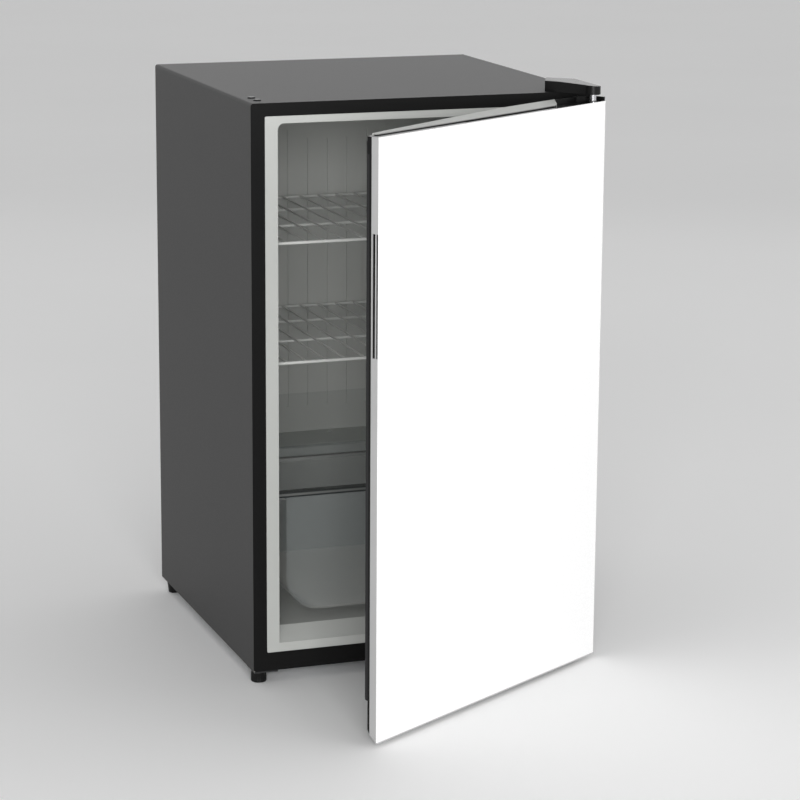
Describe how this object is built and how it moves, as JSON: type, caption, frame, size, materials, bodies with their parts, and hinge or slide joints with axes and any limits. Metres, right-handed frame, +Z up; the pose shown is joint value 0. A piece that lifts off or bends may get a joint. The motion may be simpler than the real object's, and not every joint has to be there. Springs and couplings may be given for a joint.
{
  "type": "mini fridge",
  "caption": "Compact single-door fridge with a dark cabinet, white door on a right-hand hinge, grey lined inside, wire and glass shelves and a clear crisper drawer.",
  "frame": {"origin": "on the floor under the feet, on the cabinet's middle plane from side to side and midway between the open door's foremost corner and the condenser at the back", "axes": "+Z up, +X to the right as one faces the door, +Y from the door to the back"},
  "size_m": [0.5022, 0.8076, 0.833],
  "materials": {
    "side_enamel": "satin",
    "black_steel": "satin",
    "galvanised": "satin",
    "liner_grey": "satin",
    "foam": "matte",
    "aluminium": "satin",
    "grey_plastic": "matte",
    "black_plastic": "satin",
    "black_enamel": "satin",
    "rubber": "matte",
    "zinc": "satin",
    "bright_steel": "gloss",
    "copper": "satin",
    "shelf_wire": "gloss",
    "glass": "gloss",
    "light_plastic": "satin",
    "trim_grey": "satin",
    "smoked_plastic": "gloss",
    "dark_rim": "satin",
    "white_panel": "gloss",
    "door_grey": "satin",
    "gasket": "matte",
    "rack_plastic": "gloss"
  },
  "bodies": {
    "cabinet": {"cabinet_wrap": "side_enamel", "front_frame": "black_steel", "back_panel": "galvanised", "base_pan": "galvanised", "inner_liner": "liner_grey", "cabinet_foam": "foam", "evaporator_plate": "aluminium", "evaporator_tube": "aluminium", "drain_tube": "grey_plastic", "evaporating_tray": "black_plastic", "compressor": "black_enamel", "compressor_rail": "galvanised", "compressor_grommets": "rubber", "compressor_bolts": "zinc", "terminal_box": "black_plastic", "cord_gland": "rubber", "discharge_tube": "copper", "suction_tube": "copper", "capillary_tube": "copper", "liquid_tube": "copper", "filter_drier": "copper", "condenser": "black_enamel", "condenser_brackets": "black_plastic", "back_panel_screws": "zinc", "hinge_hole_plugs": "black_plastic", "top_hinge_bracket": "zinc", "top_hinge_pin": "bright_steel", "top_hinge_screws": "zinc", "hinge_cover": "black_plastic", "bottom_hinge_bracket": "zinc", "bottom_hinge_pin": "bright_steel", "bottom_hinge_screws": "zinc", "foot_plate": "black_enamel", "rear_feet": "black_plastic", "thermostat_housing": "liner_grey"},
    "door": {"door_front_panel": "white_panel", "door_bottom_cap": "door_grey", "door_trim_free_side": "door_grey", "door_trim_hinge_side": "door_grey", "door_top_cap": "door_grey", "door_hinge_cap": "black_plastic", "door_back_frame": "black_plastic", "door_liner": "liner_grey", "door_foam": "foam", "door_gasket": "gasket", "door_bushes": "light_plastic", "door_rack_lower": "rack_plastic", "door_rack_middle": "rack_plastic", "door_rack_upper": "rack_plastic", "handle_pocket": "black_plastic"},
    "upper_wire_shelf": {"wire_shelf_upper": "shelf_wire"},
    "lower_wire_shelf": {"wire_shelf_lower": "shelf_wire"},
    "glass_shelf": {"glass_shelf": "glass", "glass_shelf_trim": "trim_grey"},
    "crisper": {"crisper_tub": "smoked_plastic", "crisper_rim": "dark_rim", "crisper_strip": "trim_grey"},
    "thermostat_knob": {"thermostat_knob": "light_plastic"},
    "left_levelling_foot": {"front_left_foot": "black_plastic"},
    "right_levelling_foot": {"front_right_foot": "black_plastic"}
  },
  "joints": [
    {"name": "door_hinge", "type": "hinge", "parent": "cabinet", "child": "door", "pos_m": [0.235, -0.13994, 0.4], "axis": [0, 0, 1], "range_deg": [-31.6, 88.4]},
    {"name": "upper_wire_shelf_slide", "type": "slide", "parent": "cabinet", "child": "upper_wire_shelf", "axis": [0, -1, 0], "range_m": [0, 0.04]},
    {"name": "lower_wire_shelf_slide", "type": "slide", "parent": "cabinet", "child": "lower_wire_shelf", "axis": [0, -1, 0], "range_m": [0, 0.04]},
    {"name": "glass_shelf_slide", "type": "slide", "parent": "cabinet", "child": "glass_shelf", "axis": [0, -1, 0], "range_m": [0, 0.04]},
    {"name": "crisper_slide", "type": "slide", "parent": "cabinet", "child": "crisper", "axis": [0, -1, 0], "range_m": [0, 0.035]},
    {"name": "thermostat_knob_turn", "type": "hinge", "parent": "cabinet", "child": "thermostat_knob", "pos_m": [0.182, 0.14006, 0.7], "axis": [-1, 0, 0], "range_deg": [-150, 150]},
    {"name": "left_foot_turn", "type": "hinge", "parent": "cabinet", "child": "left_levelling_foot", "pos_m": [-0.2375, -0.08994, 0.01], "axis": [0, 0, 1], "range_deg": [-360, 360]},
    {"name": "right_foot_turn", "type": "hinge", "parent": "cabinet", "child": "right_levelling_foot", "pos_m": [0.2375, -0.08994, 0.01], "axis": [0, 0, 1], "range_deg": [-360, 360]}
  ]
}
